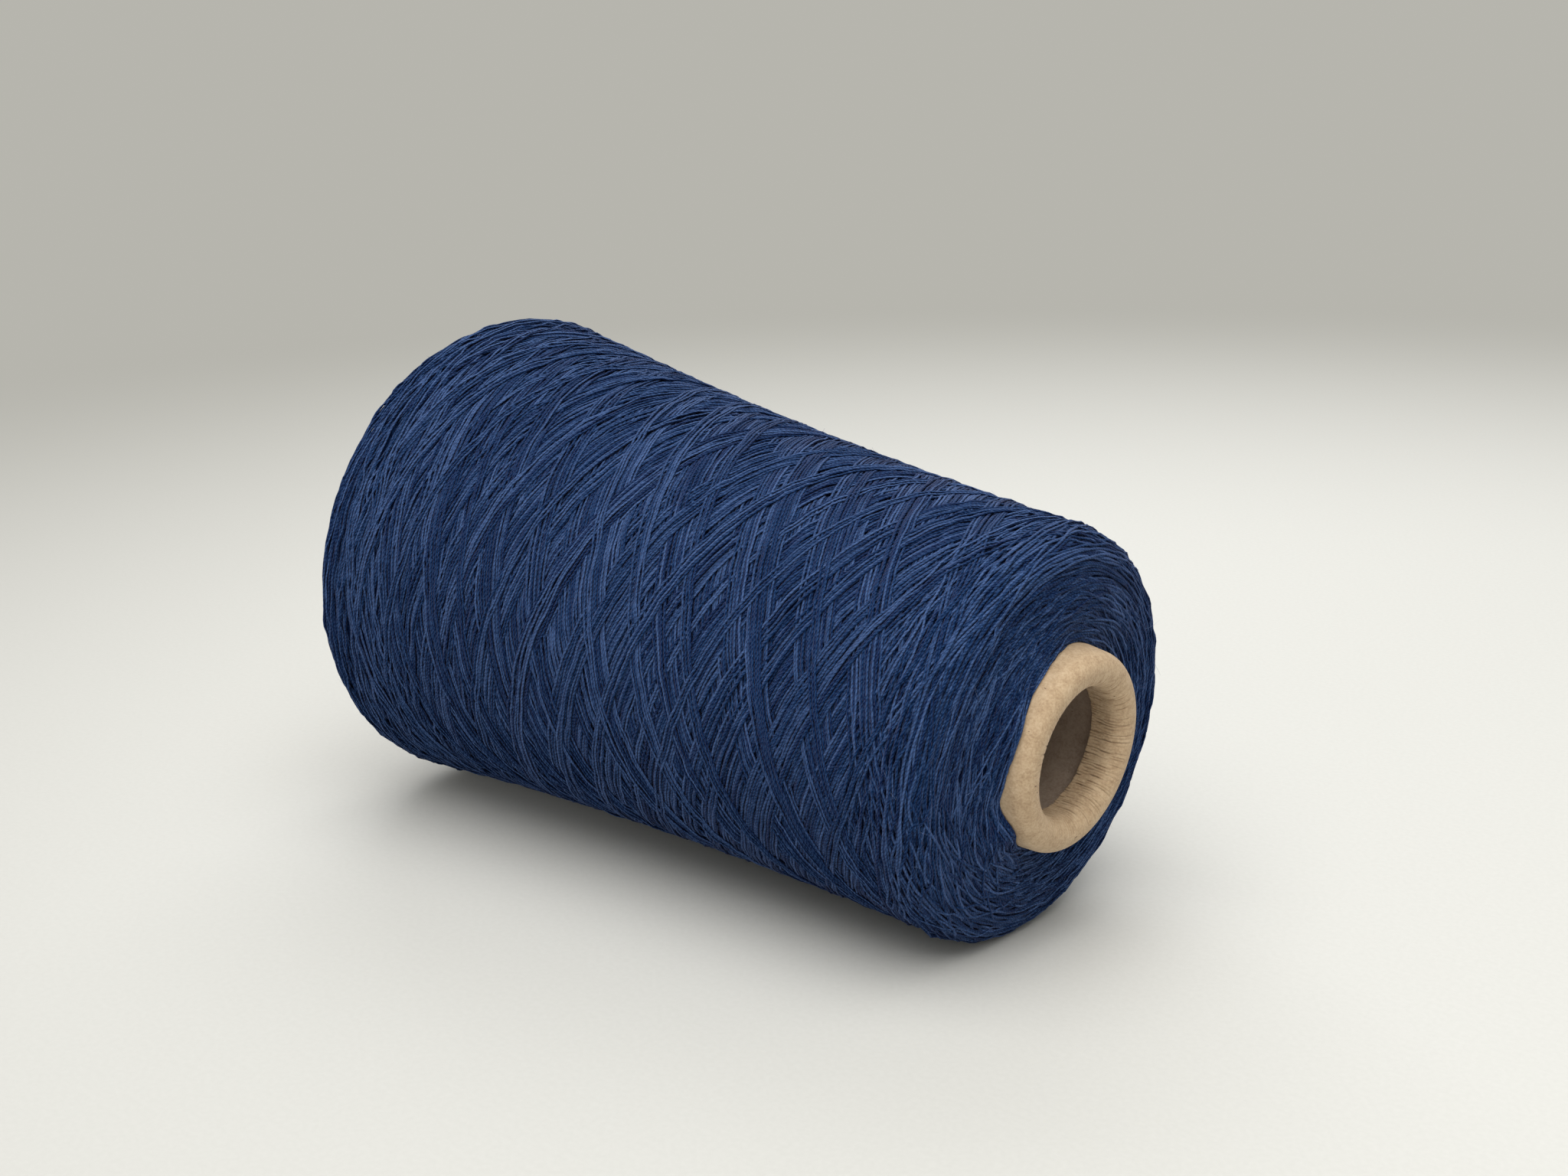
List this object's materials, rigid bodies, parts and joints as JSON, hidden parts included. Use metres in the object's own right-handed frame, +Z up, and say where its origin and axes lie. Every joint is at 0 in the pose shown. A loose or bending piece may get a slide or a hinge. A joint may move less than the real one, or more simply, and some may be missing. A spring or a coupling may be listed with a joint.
{
  "type": "cone of yarn",
  "caption": "Cross-wound conical yarn package on a rolled-nose paper cone, lying on its side; the open cone slips over a peg or spindle.",
  "frame": {"origin": "on the surface that the package lies on, under the middle of the whole object", "axes": "+X from the wide end to the nose, +Z up, +Y completes the right hand; the package's own axis slopes down 4.9 degrees towards +X"},
  "size_m": [0.1734, 0.1038, 0.1029],
  "materials": {
    "cone_board": "matte",
    "kraft_paper": "matte",
    "navy_yarn": "soft sheen"
  },
  "bodies": {
    "root": {"cone_core": "cone_board", "cone_cover_ply": "kraft_paper", "yarn_package": "navy_yarn", "transfer_tail": "navy_yarn"}
  },
  "joints": []
}
